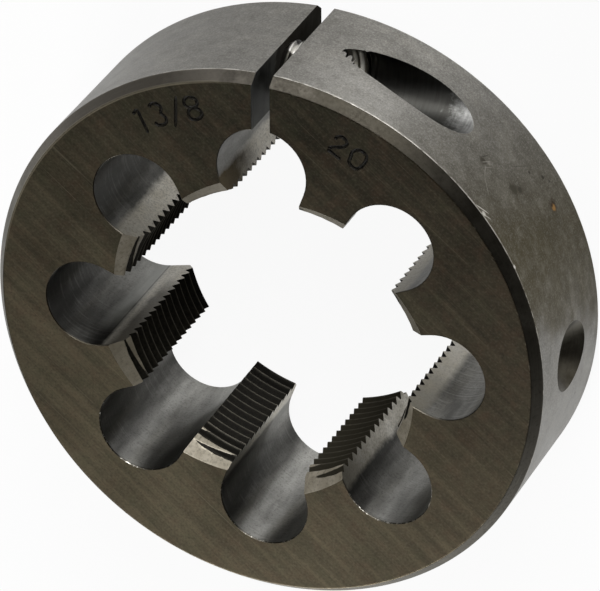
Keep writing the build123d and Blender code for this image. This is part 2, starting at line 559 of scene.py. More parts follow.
def die_cutters():
    """Everything that is cut from the blank after its grid is made."""
    seat_top = -SPLIT_WIDTH / 2 + 0.3
    seat = ([SEAT_APEX_X + 0.02, seat_top], [0.02, seat_top - SEAT_APEX_X])
    cutters = [split_cutter(), tapped_hole_cutter(), pocket_cutter()]
    cutters.append(turned_solid("seat_cutter", *seat, BORE, 64))
    apex = OUTER_RADIUS - DIMPLE_DEPTH
    for side in (-1, 1):
        along = side * np.array([apex + 0.25, apex + 0.4, OUTER_RADIUS + 1.5])
        radii = [0.05, 0.4, DIMPLE_RADIUS + 1.5]
        name = f"dimple_cutter_{side + 1}"
        cutters.append(turned_solid(name, along, radii, DIMPLE, 144, centre=(0, THICKNESS / 2)))
    for name, points in STROKES.items():
        cutters.append(stroke_cutter(name, smooth_path(points, name in LOOPS), name in LOOPS))
    return cutters


def cut_away(piece, cutters, finishes, sharp_angle):
    """The piece less every cutter, as one mesh, with sharp edges kept where faces turn by over the angle."""
    for cutter in cutters:
        cut = piece.modifiers.new(cutter.name, "BOOLEAN")
        cut.operation = "DIFFERENCE"
        cut.solver = "MANIFOLD"
        cut.object = cutter
    for solid in (piece, *cutters):
        for finish in finishes:
            solid.data.materials.append(finish)
    bpy.context.view_layer.update()
    graph = bpy.context.evaluated_depsgraph_get()
    mesh = bpy.data.meshes.new_from_object(piece.evaluated_get(graph), depsgraph=graph)
    piece.modifiers.clear()
    piece.data = mesh
    for cutter in cutters:
        bpy.data.objects.remove(cutter)
    mesh.polygons.foreach_set("use_smooth", np.ones(len(mesh.polygons), bool))
    mesh.set_sharp_from_angle(angle=math.radians(sharp_angle))
    return piece


def screw():
    """Adjusting screw: a section turned about the line parallel to X, with a cone point, thread ridges and a
    chamfer, and a slot cut across its outer end."""
    length = SCREW_END_X - SCREW_TIP_X
    cone = SCREW_RADIUS - SCREW_TIP_RADIUS
    shank = np.linspace(cone - 0.2, length - 0.45, 60)
    section = np.vstack([
        [[0, 0.03], [0, 0.3], [0.03, 0.36], [0.1, 0.47], [cone - 0.4, SCREW_RADIUS - 0.42]],
        np.stack([shank, np.minimum(SCREW_RADIUS, SCREW_TIP_RADIUS + shank)], -1),
        [[length - 0.3, 2.95], [length - 0.1, 2.78], [length, 2.66], [length, 0.03]],
    ])

    def wave(theta, x):
        """Ridges along the shank that fade at the cone and at the chamfer."""
        fade = rise(x - SCREW_TIP_X - cone, 0.3) * rise(SCREW_END_X - 0.3 - x, 0.3)
        return fade * ridge(theta, x, SCREW_PITCH, 0.38)

    piece = turned_solid("adjusting_screw_steel", section[:, 0] + SCREW_TIP_X, section[:, 1], 0, 72, wave)
    floor, past, half = SCREW_END_X - SLOT_DEPTH, SCREW_END_X + 1, SLOT_WIDTH / 2
    outline = np.array([[floor, -half], [past, -half], [past, half], [floor, half]]) + [0, SCREW_Z]
    slot = prism("slot_cutter", outline, SCREW_Y - 5, SCREW_Y + 5, 0)
    return cut_away(piece, [slot], [screw_steel], 40)


# Finishes


def display(red, green, blue):
    """Linear colour of three display values from 0 to 255, by the display curve turned back."""
    c = np.array([red, green, blue]) / 255
    linear = np.where(c <= 0.04045, c / 12.92, ((c + 0.055) / 1.055) ** 2.4)
    return (*linear.tolist(), 1.0)


def cleared_tree(owner):
    """Empty node tree of a material or a world."""
    owner.use_nodes = True
    owner.node_tree.nodes.clear()
    return owner.node_tree


def feed(tree, target, source):
    """Links an input to an output, or sets it to a value."""
    if hasattr(source, "is_output"):
        tree.links.new(source, target)
    else:
        target.default_value = source


def add_node(tree, kind, inputs=(), **settings):
    """Node with its settings made and its inputs, by number or name, fed."""
    node = tree.nodes.new(kind)
    for setting, value in settings.items():
        setattr(node, setting, value)
    for key, source in dict(inputs).items():
        feed(tree, node.inputs[key], source)
    return node


class Finish:
    """A steel finish, whose nodes are added one at a time. Patterns read Object coordinates in millimetres."""

    def __init__(self, name):
        self.material = bpy.data.materials.new(name)
        self.tree = cleared_tree(self.material)
        self.shader = self.add("ShaderNodeBsdfPrincipled")
        self.add("ShaderNodeOutputMaterial", {0: self.shader.outputs[0]})
        metres = self.add("ShaderNodeTexCoord").outputs["Object"]
        self.place = self.vector("SCALE", {0: metres, "Scale": 1000}).outputs[0]
        self.x, self.y, self.z = self.add("ShaderNodeSeparateXYZ", {0: self.place}).outputs

    def add(self, kind, inputs=(), **settings):
        return add_node(self.tree, kind, inputs, **settings)

    def vector(self, operation, inputs):
        return self.add("ShaderNodeVectorMath", inputs, operation=operation)

    def shade(self, name, source):
        """Feeds one input of the shader."""
        feed(self.tree, self.shader.inputs[name], source)

    def math(self, operation, a, b=0.0, c=0.0):
        return self.add("ShaderNodeMath", enumerate((a, b, c)), operation=operation).outputs[0]

    def times(self, first, *others):
        for other in others:
            first = self.math("MULTIPLY", first, other)
        return first

    def plus(self, a, b):
        return self.math("ADD", a, b)

    def minus(self, a, b):
        return self.math("SUBTRACT", a, b)

    def absolute(self, a):
        return self.math("ABSOLUTE", a)

    def larger(self, a, b):
        return self.math("MAXIMUM", a, b)

    def off(self, value, centre):
        """Distance of a value from a centre."""
        return self.absolute(self.minus(value, centre))

    def length(self, a, b):
        return self.math("SQRT", self.plus(self.times(a, a), self.times(b, b)))

    def sway(self, value, noise, amount):
        """The value plus the noise's departure from one half, times the amount."""
        return self.math("MULTIPLY_ADD", self.minus(noise, 0.5), amount, value)

    def between(self, value, low, high, to_low=0.0, to_high=1.0):
        """Straight line from one level to another as the value goes from low to high, held at both ends."""
        levels = enumerate((value, low, high, to_low, to_high))
        return self.add("ShaderNodeMapRange", levels).outputs[0]

    def level(self, share, at_none, at_full):
        """Straight line from one level to another as a share goes from nothing to one."""
        return self.between(share, 0.0, 1.0, at_none, at_full)

    def window(self, value, rise_from, rise_to, fall_from, fall_to):
        """One between a rise and a fall, and straight lines to nothing outside them."""
        return self.times(self.between(value, rise_from, rise_to), self.between(value, fall_to, fall_from))

    def angle(self, up, along):
        """Angle in degrees of a direction with one part up and one along."""
        return self.times(self.math("ARCTAN2", up, along), 180 / math.pi)

    def azimuth(self):
        """Angle about the die's axis, from +X."""
        return self.angle(self.y, self.x)

    def from_screw_axis(self):
        """Distance from the screw's axis."""
        return self.length(self.minus(self.y, SCREW_Y), self.minus(self.z, SCREW_Z))

    def grain(self, size, turn=0.0, detail=3.0, rough=0.55, shift=0.0):
        """Noise about one half: features of one length in millimetres or one on each axis, turned about Z."""
        lengths = size if isinstance(size, tuple) else (size, size, size)
        mapping = self.add("ShaderNodeMapping", {
            "Vector": self.place,
            "Location": (shift, shift, shift),
            "Rotation": (0, 0, math.radians(turn)),
            "Scale": lengths,
        }, vector_type="TEXTURE")
        return self.add("ShaderNodeTexNoise", {
            "Vector": mapping.outputs[0],
            "Scale": 1.0,
            "Detail": detail,
            "Roughness": rough,
        }).outputs[0]

    def blend(self, share, a, b):
        """Colour a where the share is nothing, b where it is one: inputs 6 and 7 hold the node's colours."""
        return self.add("ShaderNodeMix", {0: share, 6: a, 7: b}, data_type="RGBA").outputs[2]

    def tones(self, share, a, b):
        """Colour between two tones, given as display values."""
        return self.blend(share, display(*a), display(*b))

    def tint(self, colour, tone, *shares):
        """Colour with a tone, given as display values, laid over it by the product of the shares."""
        return self.blend(self.times(*shares), colour, display(*tone))

    def flecks(self, colour, rows):
        """Tones laid over a colour in turn, each up to its strength as its noise goes from low to high."""
        for noise, low, high, strength, tone in rows:
            colour = self.tint(colour, tone, self.between(noise, low, high, 0.0, strength))
        return colour

    def attribute(self, name):
        return self.add("ShaderNodeAttribute", attribute_name=name).outputs["Fac"]

    def line(self, distance, width):
        """One on the line of no distance, falling to nothing at the width on either side."""
        return self.between(self.absolute(distance), 0.0, width, 1.0, 0.0)

    def spot(self, centre, radius):
        """One within the radius of a point, with an edge that noise of half a millimetre breaks up."""
        away = self.vector("DISTANCE", {0: self.place, 1: centre}).outputs["Value"]
        swayed = self.sway(away, self.grain(0.5, detail=2), radius * 1.2)
        return self.between(swayed, radius, radius * 0.45)

    def streak(self, centre, direction, half_length, half_width):
        """One on a short line through a point, by the part of the offset that leaves the direction."""
        away = self.vector("SUBTRACT", {0: self.place, 1: centre}).outputs[0]
        along = self.vector("DOT_PRODUCT", {0: away, 1: direction}).outputs["Value"]
        size = self.vector("LENGTH", {0: away}).outputs["Value"]
        aside = self.minus(self.times(size, size), self.times(along, along))
        aside = self.math("SQRT", self.larger(aside, 0.0))
        taper = self.between(self.absolute(along), half_length * 0.5, half_length, 1.0, 0.0)
        return self.times(taper, self.between(aside, half_width, half_width * 0.5))

    def worn(self, colour, bright, lines=(), low=0.62, high=0.95):
        """A bright tone on the edge attribute and on the given lines, where noise of 0.9 mm lets it."""
        share = self.attribute("edge")
        for line in lines:
            share = self.larger(share, line)
        share = self.sway(share, self.grain(0.9, detail=3, shift=3), 0.9)
        return self.tint(colour, bright, self.between(share, low, high))

    def bump(self, height, strength, depth):
        """Fine relief of a depth in millimetres."""
        inputs = {"Strength": strength, "Distance": depth / 1000, "Height": height}
        self.shade("Normal", self.add("ShaderNodeBump", inputs).outputs[0])

    def across(self, axis, amount):
        """Highlights drawn out across marks that run round an axis."""
        self.shade("Tangent", self.add("ShaderNodeTangent", direction_type="RADIAL", axis=axis).outputs[0])
        self.shade("Anisotropic", amount)
        self.shade("Anisotropic Rotation", 0.25)

    def done(self, colour, rough, metal=1.0):
        self.shade("Base Color", colour)
        self.shade("Roughness", rough)
        self.shade("Metallic", metal)
        return self.material


def cut_edges(f):
    """Lines along the split, pocket and dimples, by the distance to the slab, cylinder and cones."""
    split = f.line(f.minus(f.absolute(f.x), SPLIT_WIDTH / 2), 0.16)
    split = f.times(split, f.between(f.y, 20, 21))
    pocket = f.minus(f.from_screw_axis(), POCKET_RADIUS)
    pocket = f.times(f.line(pocket, 0.2), f.between(f.x, 6.5, 7.5))
    cone = f.minus(f.absolute(f.x), OUTER_RADIUS - DIMPLE_DEPTH)
    dimple = f.minus(f.length(f.y, f.minus(f.z, THICKNESS / 2)), cone)
    return [split, pocket, f.line(dimple, 0.22)]


def dark_face_steel(name, dark, light):
    """Dark hardened face. Its tone rises towards -Y as painted light and wanders with patches of 9 mm and with
    long bands, which run at -40 degrees like the faint ground lines and scratches and show more strongly where
    the painted light rises. Mottling of 0.9 and 0.3 mm lies over them, patches of 2 mm turn it reddish or
    olive, and it is a little warmer towards +X. Edges are worn, and a painted highlight follows the outer edge
    between azimuths 92 and 176 degrees."""
    f = Finish(name)
    patch = f.grain(9, detail=5)
    lines = f.grain((9, 0.12, 1), turn=-40, detail=2)
    bands = f.grain((28, 1.1, 1), turn=-40, detail=3, shift=5)
    hue = f.grain(2.2, detail=5, rough=0.65, shift=9)
    mottle = f.grain(0.9, detail=4, rough=0.65, shift=2)
    fine = f.grain(0.28, detail=3)
    scratch = f.grain((22, 0.5, 1), turn=-39, detail=3, shift=12)
    across = f.math("MULTIPLY_ADD", f.x, 0.54, f.y)
    # Painted light: the tone rises towards -Y.
    tone = f.sway(f.sway(f.sway(f.between(across, 34, -34), patch, 0.5), bands, 0.8), mottle, 0.7)
    colour = f.tones(tone, dark, light)
    # The bands show more strongly as the painted light rises towards -Y.
    strength = f.between(across, 12, -22, 0.25, 1.0)
    colour = f.tint(colour, (118, 104, 82), strength, f.between(bands, 0.52, 0.68, 0.0, 0.11))
    colour = f.tint(colour, (30, 24, 15), strength, f.between(bands, 0.48, 0.34, 0.0, 0.14))
    colour = f.flecks(colour, (
        (hue, 0.5, 0.7, 0.24, (72, 50, 36)),
        (hue, 0.48, 0.3, 0.22, (46, 52, 32)),
        (lines, 0.5, 0.75, 0.07, (126, 118, 98)),
        (lines, 0.48, 0.28, 0.1, (18, 16, 10)),
        (fine, 0.52, 0.75, 0.12, (120, 114, 100)),
        (fine, 0.48, 0.28, 0.34, (18, 16, 11)),
        (scratch, 0.66, 0.74, 0.22, (128, 120, 100)),
    ))
    colour = f.tint(colour, (60, 44, 28), f.between(f.x, 4, 24, 0.0, 0.1))
    colour = f.worn(colour, (116, 110, 96), cut_edges(f), 1.05, 1.4)
    # Painted highlight: a light line on the outer edge between azimuths 92 and 176 degrees.
    painted_edge_highlight = f.times(f.attribute("edge"), f.between(f.length(f.x, f.y), 29.8, 30.4))
    painted_edge_highlight = f.times(painted_edge_highlight, f.window(f.azimuth(), 92, 108, 160, 176))
    colour = f.tint(colour, (160, 151, 130), painted_edge_highlight, 0.5)
    f.bump(f.plus(f.times(lines, 0.6), fine), 0.3, 0.01)
    return f.done(colour, f.between(patch, 0.3, 0.7, 0.38, 0.5), 0.85)


def ground_rim_steel(name):
    """Ground rim: grey satin with smears of 3 mm, clouds of 1 mm and specks of 0.2 mm. An olive stain, darkened
    further as painted shade, lies between azimuths 5 and 50 degrees, leans with height and halves the specks,
    and past both its ends the steel is paler as painted light. Edges are worn bright, and a painted highlight
    lies on the edge towards the stamped face, most between azimuths 34 and 92. The spots and scratches are
    those of the tables."""
    f = Finish(name)
    lines = f.grain((1.6, 1.6, 0.14), detail=3, rough=0.6)
    fine = f.grain(0.2, detail=3, rough=0.6)
    cloud = f.grain(1.1, detail=4, rough=0.6, shift=5)
    patch = f.grain((5, 5, 4), detail=5, rough=0.6, shift=2)
    smear = f.grain((3.2, 3.2, 2.0), detail=5, rough=0.65, shift=14)
    angle = f.azimuth()
    lean = f.sway(f.math("MULTIPLY_ADD", f.z, -0.7, f.plus(angle, 6.5)), patch, 14)
    # Olive stain between azimuths 5 and 50 degrees, made darker as painted shade.
    olive_film_and_shade = f.times(f.window(lean, 2, 9, 28, 60), f.between(patch, 0.2, 0.5, 0.85, 1.0))
    colour = f.tones(f.sway(0.5, patch, 1.2), (116, 114, 109), (134, 132, 127))
    olive = f.tones(f.sway(0.5, patch, 1.6), (65, 58, 38), (79, 72, 50))
    colour = f.blend(olive_film_and_shade, colour, olive)
    # Painted light: paler steel past both ends of the olive stain.
    pale = f.times(f.window(angle, 58, 66, 76, 86), f.between(f.z, 10, 13))
    pale = f.larger(pale, f.between(angle, 6, -8))
    colour = f.tint(colour, (178, 176, 171), pale, 0.28)
    colour = f.flecks(colour, (
        (smear, 0.5, 0.68, 0.16, (176, 172, 160)),
        (smear, 0.48, 0.32, 0.2, (58, 54, 42)),
        (cloud, 0.5, 0.7, 0.08, (196, 193, 184)),
        (cloud, 0.5, 0.3, 0.14, (66, 62, 50)),
        (lines, 0.5, 0.78, 0.07, (206, 204, 198)),
        (lines, 0.48, 0.25, 0.09, (84, 80, 70)),
    ))
    clear = f.level(olive_film_and_shade, 1.0, 0.55)
    colour = f.tint(colour, (206, 204, 197), clear, f.between(fine, 0.5, 0.72, 0.0, 0.26))
    colour = f.tint(colour, (72, 68, 57), clear, f.between(fine, 0.49, 0.28, 0.0, 0.38))
    colour = f.worn(colour, (204, 200, 190), cut_edges(f), 0.95, 1.25)
    # Painted highlight on the edge towards the stamped face, most between azimuths 34 and 92.
    painted_edge_highlight = f.times(f.between(angle, 34, 54, 0.5, 1.0), f.between(angle, 112, 92), f.between(f.z, 17, 17.6))
    painted_edge_highlight = f.times(painted_edge_highlight, f.between(angle, 18, 34))
    painted_edge_highlight = f.times(painted_edge_highlight, f.between(f.grain((1.2, 1.2, 0.5), detail=3, shift=11), 0.4, 0.56))
    colour = f.tint(colour, (214, 210, 202), painted_edge_highlight, f.attribute("edge"))
    for turn, height, radius, tone in RIM_SPOTS:
        centre = (*on_circle(OUTER_RADIUS, turn), height)
        colour = f.tint(colour, tone, f.spot(centre, radius))
    for turn, height, slope, half_length, half_width, tone in RIM_SCRATCHES:
        centre = (*on_circle(OUTER_RADIUS, turn), height)
        way = (*on_circle(math.cos(math.radians(slope)), turn + 90), math.sin(math.radians(slope)))
        colour = f.tint(colour, tone, f.streak(centre, way, half_length, half_width), 0.8)
    f.bump(f.plus(lines, f.times(fine, 0.8)), 0.3, 0.012)
    f.across("Z", 0.7)
    return f.done(colour, f.sway(f.between(patch, 0.3, 0.7, 0.33, 0.42), fine, 0.12))


def turned_chamfer_steel(name):
    """Chamfer turned round the axis: greenish grey with fine lines, painted shade makes it near black between
    azimuths
    10 and 80 degrees and blackest from 62 to 84 but for its specks, dull from -130 to -50, and paler from 100
    to
    135 with dirt on it. A painted highlight follows its edge with the stamped face between azimuths 92 and 176."""
    f = Finish(name)
    lines = f.grain((5, 5, 0.12), detail=3, rough=0.6)
    patch = f.grain(3, detail=5, shift=4)
    fine = f.grain(0.4, detail=3)
    angle = f.sway(f.azimuth(), patch, 24)
    dark = f.window(angle, -40, 10, 80, 102)
    colour = f.tones(f.sway(0.5, patch, 1.4), (90, 87, 78), (120, 116, 107))
    colour = f.flecks(colour, (
        (lines, 0.5, 0.8, 0.3, (160, 155, 142)),
        (fine, 0.48, 0.3, 0.4, (50, 46, 37)),
    ))
    # Painted shade: near black between azimuths 10 and 80 degrees, but for its specks.
    colour = f.tint(colour, (42, 39, 33), dark, f.between(patch, 0.3, 0.7, 0.94, 0.78))
    below = f.window(angle, -150, -130, -50, -30)
    colour = f.tint(colour, (62, 59, 50), below, 0.45)
    upper = f.window(angle, 78, 100, 135, 160)
    colour = f.tint(colour, (158, 151, 141), upper, 0.55)
    dirty = f.window(angle, 102, 112, 134, 146)
    colour = f.tint(colour, (58, 54, 45), dirty, 0.55)
    # Painted highlight along the edge with the stamped face between azimuths 92 and 176.
    bright = f.times(f.attribute("edge"), f.between(f.z, THICKNESS - 0.3, THICKNESS - 0.1),
                     f.window(angle, 92, 108, 160, 176))
    colour = f.tint(colour, (176, 168, 148), bright, 0.6)
    # Painted shade, blackest from 62 to 84 degrees.
    lit = f.window(angle, 40, 62, 84, 104)
    colour = f.tint(colour, (38, 36, 31), lit, f.between(fine, 0.3, 0.7, 0.7, 0.3))
    colour = f.worn(colour, (150, 145, 132), cut_edges(f)[:1], 1.1, 1.4)
    f.bump(f.plus(lines, fine), 0.4, 0.012)
    f.across("Z", 0.6)
    return f.done(colour, f.plus(f.between(patch, 0.3, 0.7, 0.34, 0.46), f.times(lit, 0.08)))


def chip_hole_steel(name):
    """Chip hole and the flanks that leave it. The hole is grey steel with drill marks 0.16 mm apart round it,
    axial stains and painted shade by the way the wall faces, and faint rings, with painted shade towards the
    stamped face, and burrs shine in places along its dark mouth, as painted glints on the holes towards -Y. By
    the flank attribute it turns over half a millimetre into pale ground steel, speckled dark, with painted
    shade that dulls it towards the face. The holes at the split, at the left, at the right and between them
    differ in stain and in painted light and shade as in the photograph, and the flanks at the split turn matt
    and brown higher up."""
    f = Finish(name)
    marks = f.grain((2.2, 2.2, 0.16), detail=4, rough=0.7)
    stain = f.grain((1.6, 1.6, 6), detail=4, shift=6)
    rings = f.grain((4, 4, 0.35), detail=3, shift=8)
    fine = f.grain(0.22, detail=3)
    blotch = f.grain(2.0, detail=5, rough=0.6, shift=7)
    speck = f.grain(0.24, detail=4, rough=0.65, shift=1)
    around = f.times(f.math("ROUND", f.times(f.azimuth(), HOLES / 360)), 2 * math.pi / HOLES)
    from_x = f.minus(f.times(f.math("COSINE", around), HOLE_CIRCLE), f.x)
    from_y = f.minus(f.times(f.math("SINE", around), HOLE_CIRCLE), f.y)
    facing = f.sway(f.angle(from_y, from_x), stain, 11)
    level = f.between(f.absolute(f.y), 9, 7)
    left = f.times(level, f.between(f.x, -13, -14))
    right = f.times(level, f.between(f.x, 13, 14))
    at_split = f.times(f.between(f.absolute(f.x), 8, 7), f.between(f.y, 13, 14))
    from_joint = f.sway(f.attribute("flank"), blotch, 1.4)
    share = f.between(from_joint, -0.3, 0.5)

    # Wall of the hole
    colour = f.tones(f.between(stain, 0.3, 0.7), (140, 139, 135), (188, 187, 182))
    colour = f.flecks(colour, (
        (marks, 0.48, 0.28, 0.3, (84, 83, 78)),
        (fine, 0.49, 0.3, 0.45, (88, 86, 80)),
    ))
    # Painted shade: the wall darkens towards the stamped face.
    painted_shade_by_height = f.between(f.z, 3, 15, 0.0, 0.42)
    colour = f.tint(colour, (30, 29, 25), painted_shade_by_height, f.level(at_split, 1.0, 0.2))
    # Painted shade on the side of each wall that faces up to 34 to 58 degrees, wider nearer the stamped face.
    low = f.between(f.z, 3, 12, 12, -26)
    painted_shade_by_facing = f.times(f.between(f.minus(facing, low), -8, 12), f.between(facing, 58, 34), f.minus(1.0, at_split))
    colour = f.tint(colour, (34, 33, 30), painted_shade_by_facing, 0.72)
    # Painted shade on the upper wall of the hole to the left.
    colour = f.tint(colour, (34, 33, 30), left, f.between(f.z, 7, 16, 0.0, 0.75))
    # Painted light low on the left hole's wall where it faces 76 to 92 degrees, and faintly in the hole at the
    # split.
    pale = f.times(left, f.between(facing, 76, 92), f.between(f.z, 16, 12))
    pale = f.larger(pale, f.times(at_split, f.between(blotch, 0.36, 0.5, 0.25, 1.0)))
    colour = f.tint(colour, (210, 211, 206), pale, f.level(at_split, 0.55, 0.05))
    colour = f.tint(colour, (64, 62, 56), at_split, 0.3)
    upper_left = f.times(f.between(f.x, -8, -9), f.between(f.y, 8, 9))
    colour = f.tint(colour, (58, 58, 53), upper_left, f.between(blotch, 0.36, 0.6, 0.5, 0.15))
    scuff = f.between(f.sway(rings, stain, 0.4), 0.52, 0.72)
    colour = f.tint(colour, (222, 221, 217), scuff, f.level(right, 0.07, 0.26))

    # Ground steel of the flanks
    ground = f.tones(f.between(blotch, 0.35, 0.65), (232, 226, 211), (250, 246, 236))
    height = f.plus(f.sway(f.z, blotch, 6.0), f.between(f.y, -8, -6, 0.0, -2.0))
    # Painted shade: the flanks darken towards the stamped face.
    ground = f.tint(ground, (96, 92, 81), f.between(height, 9, 18, 0.0, 0.8))
    ground = f.tint(ground, (104, 102, 95), right, f.between(height, 6, 13, 0.0, 0.25))
    specks = f.times(f.between(speck, 0.56, 0.3, 0.0, 0.5), f.level(right, 1.0, 0.5))
    ground = f.tint(ground, (96, 91, 80), specks)
    ground = f.tint(ground, (78, 69, 52), at_split, f.between(height, 7, 13, 0.0, 0.93))
    near = f.times(f.between(from_joint, 0.6, 1.6), f.between(f.sway(f.z, blotch, 4.0), 3, 7))
    ground = f.tint(ground, (62, 58, 48), left, near, 0.8)
    lower_right = f.times(f.between(f.x, 8, 9), f.between(f.y, -8, -9))
    ground = f.tint(ground, (92, 88, 76), lower_right, f.between(blotch, 0.35, 0.6, 0.6, 0.3))
    upper_right = f.times(f.between(f.x, 8, 9), f.between(f.y, 8, 9))
    ground = f.tint(ground, (96, 92, 82), upper_right, 0.4)
    ground = f.tint(ground, (70, 66, 56), f.between(facing, 90, 108), f.level(right, 0.2, 0.0))
    colour = f.blend(share, colour, ground)
    joint = f.times(f.line(f.plus(f.attribute("flank"), 0.1), 0.16), left, 0.6)
    colour = f.tint(colour, (44, 42, 36), joint)

    # Mouth at the stamped face
    mouth = f.between(f.z, THICKNESS - 0.22, THICKNESS - 0.1)
    colour = f.tint(colour, (56, 52, 43), mouth, 0.85)
    # Bright burrs at the mouth, painted as glints only on the holes towards -Y.
    burr = f.between(f.grain(0.5, detail=4, rough=0.7, shift=3), 0.53, 0.62)
    burr = f.times(burr, f.between(share, 0.0, 0.2, 1.0, 0.0), f.between(f.y, -7, -11))
    colour = f.tint(colour, (196, 193, 184), mouth, burr)

    f.bump(f.plus(f.times(marks, f.minus(1.0, share)), f.times(fine, 0.6)), 0.3, 0.012)
    f.across("Z", f.level(share, 0.84, 0.2))
    rough = f.plus(f.between(marks, 0.3, 0.7, 0.3, 0.38), f.times(share, 0.04))
    matt = f.times(at_split, share, f.between(height, 6, 12, 0.5, 1.0))
    f.shade("Specular IOR Level", f.level(matt, 0.5, 0.0))
    return f.done(colour, rough, f.math("MULTIPLY_ADD", matt, -0.85, f.level(share, 1.0, 0.85)))


def cut_thread_steel(name):
    """Land: near-black thread whose crest is a thin grey line, by radius, partly wear and partly painted
    highlight, and pale ground metal wherever the lead attribute says that the lead cuts the thread. The land at
    247 degrees is darker and the one at 292 oiled. The lead is dull up to 262 degrees, but for the land at 249,
    half as dull on the one at 157, and clear beyond."""
    f = Finish(name)
    fine = f.grain(0.4, detail=3)
    blotch = f.grain(2, detail=4, shift=5)
    radius = f.length(f.x, f.y)
    angle = f.math("WRAP", f.azimuth(), 360.0, 0.0)
    darkened = f.between(f.off(angle, 247.0), 12, 20, 1.0, 0.0)
    oiled = f.between(f.off(angle, 292.0), 12, 20, 1.0, 0.0)
    colour = f.tones(f.between(fine, 0.35, 0.65), (22, 20, 16), (36, 34, 27))
    colour = f.tint(colour, (9, 8, 6), darkened, 0.75)
    colour = f.tint(colour, (74, 70, 58), oiled, 0.6)
    # Crest line: partly wear and partly a painted highlight.
    crest = f.between(f.sway(radius, fine, 0.1), CREST_RADIUS + 0.01, CREST_RADIUS + 0.1, 1.0, 0.0)
    crest = f.times(crest, f.level(darkened, 1.0, 0.5))
    colour = f.tint(colour, (112, 108, 97), crest, f.between(blotch, 0.3, 0.6, 0.25, 0.6))
    ground = f.tones(f.between(blotch, 0.35, 0.65), (134, 127, 111), (160, 153, 138))
    torn = f.grain((0.3, 0.3, 1.4), detail=4, rough=0.65, shift=3)
    ground = f.flecks(ground, (
        (torn, 0.5, 0.3, 0.7, (92, 86, 72)),
        (fine, 0.48, 0.3, 0.3, (96, 90, 78)),
    ))
    dull = f.between(f.off(angle, 249.0), 13, 20)
    dull = f.times(dull, f.between(angle, 262, 274, 0.66, 0.12))
    dull = f.times(dull, f.between(f.off(angle, 157.0), 10, 16, 0.5, 1.0))
    ground = f.tint(ground, (66, 61, 48), dull)
    lead = f.between(f.sway(f.attribute("lead"), fine, 0.06), -0.01, 0.03)
    colour = f.blend(lead, colour, ground)
    f.bump(fine, 0.3, 0.015)
    return f.done(colour, f.level(lead, 0.5, 0.46), f.level(lead, 0.9, 0.4))


def sawn_split_steel(name):
    """Split wall: dark bluish grey with saw marks along Y, 0.25 mm apart, and painted shade, matt and near
    black, low down near the rim and about the screw's seat."""
    f = Finish(name)
    marks = f.grain((4, 6, 0.25), detail=3, rough=0.65)
    stain = f.grain(3, detail=4, shift=2)
    colour = f.tones(f.between(stain, 0.35, 0.65), (70, 71, 68), (104, 105, 102))
    colour = f.tint(colour, (40, 40, 37), f.between(marks, 0.48, 0.3, 0.0, 0.5))
    # Painted shade: matt and near black low down in the split and about the screw's seat.
    darkened = f.times(f.between(f.sway(f.z, stain, 6.0), 10, 7), f.between(f.y, 24, 27))
    seat = f.length(f.minus(f.y, SCREW_Y + 1), f.minus(f.z, SCREW_Z))
    darkened = f.larger(darkened, f.between(f.sway(seat, stain, 2.0), 6.0, 3.6))
    colour = f.tint(colour, (26, 22, 16), darkened, 0.86)
    colour = f.worn(colour, (150, 150, 146), (), 0.95, 1.2)
    f.bump(marks, 0.4, 0.02)
    f.shade("Specular IOR Level", f.between(darkened, 0.2, 0.9, 0.5, 0.0))
    return f.done(colour, f.between(stain, 0.3, 0.7, 0.38, 0.5), f.between(darkened, 0.2, 0.9, 0.9, 0.0))


def tapped_bore_steel(name):
    """Pocket and tapped hole: steel with rings of 0.25 mm about X, with painted shade in streaky patches
    further in, and with pale crests over dark roots, painted light and shade, where the tapped thread shows."""
    f = Finish(name)
    marks = f.grain((0.25, 4, 4), detail=3, rough=0.6)
    streak = f.grain((1.4, 0.7, 0.7), detail=5, rough=0.65, shift=3)
    shade_edge_noise = f.grain((0.5, 0.4, 0.4), detail=4, rough=0.7, shift=6)
    # Painted shade further into the pocket, with streaky edges.
    inner = f.between(f.sway(f.sway(f.x, streak, 5.0), shade_edge_noise, 4.5), 19.6, 16.2)
    colour = f.tones(f.between(marks, 0.35, 0.65), (122, 122, 120), (144, 144, 142))
    colour = f.tint(colour, (72, 71, 67), f.between(marks, 0.46, 0.3, 0.0, 0.25))
    colour = f.tint(colour, (44, 43, 39), inner, 0.88)
    # Painted light on the crests and painted shade on the roots of the tapped ridges.
    ridges = f.between(f.x, 6.75, 6.5)
    radius = f.from_screw_axis()
    crest = f.between(f.sway(radius, marks, 0.12), TAPPED_RADIUS - 0.02, TAPPED_RADIUS - 0.18)
    colour = f.blend(ridges, colour, f.tones(crest, (92, 87, 76), (244, 240, 230)))
    f.bump(marks, 0.25, 0.012)
    f.across("X", 0.15)
    rough = f.plus(f.between(streak, 0.3, 0.7, 0.34, 0.42), f.times(ridges, 0.1))
    return f.done(colour, rough, f.level(ridges, 1.0, 0.1))


def dimple_steel(name):
    """Drilled dimple: dark grey with fine rings about X, with painted shade darkest on a line at Y -1.3 and
    painted light above Y 0.6.
    """
    f = Finish(name)
    marks = f.grain((0.25, 3, 3), detail=3)
    blotch = f.grain(2, detail=4, shift=8)
    colour = f.tones(f.between(blotch, 0.35, 0.65), (58, 54, 45), (92, 88, 78))
    colour = f.tint(colour, (44, 41, 34), f.between(marks, 0.46, 0.3, 0.0, 0.4))
    # Painted shade on a line at Y -1.3, and painted light above Y 0.6.
    colour = f.tint(colour, (36, 33, 27), f.line(f.plus(f.y, 1.3), 2.6), 0.65)
    colour = f.tint(colour, (150, 146, 134), f.between(f.y, 0.6, 2.0, 0.0, 0.22))
    f.bump(marks, 0.35, 0.02)
    f.across("X", 0.5)
    return f.done(colour, f.between(blotch, 0.3, 0.7, 0.36, 0.48), 0.95)


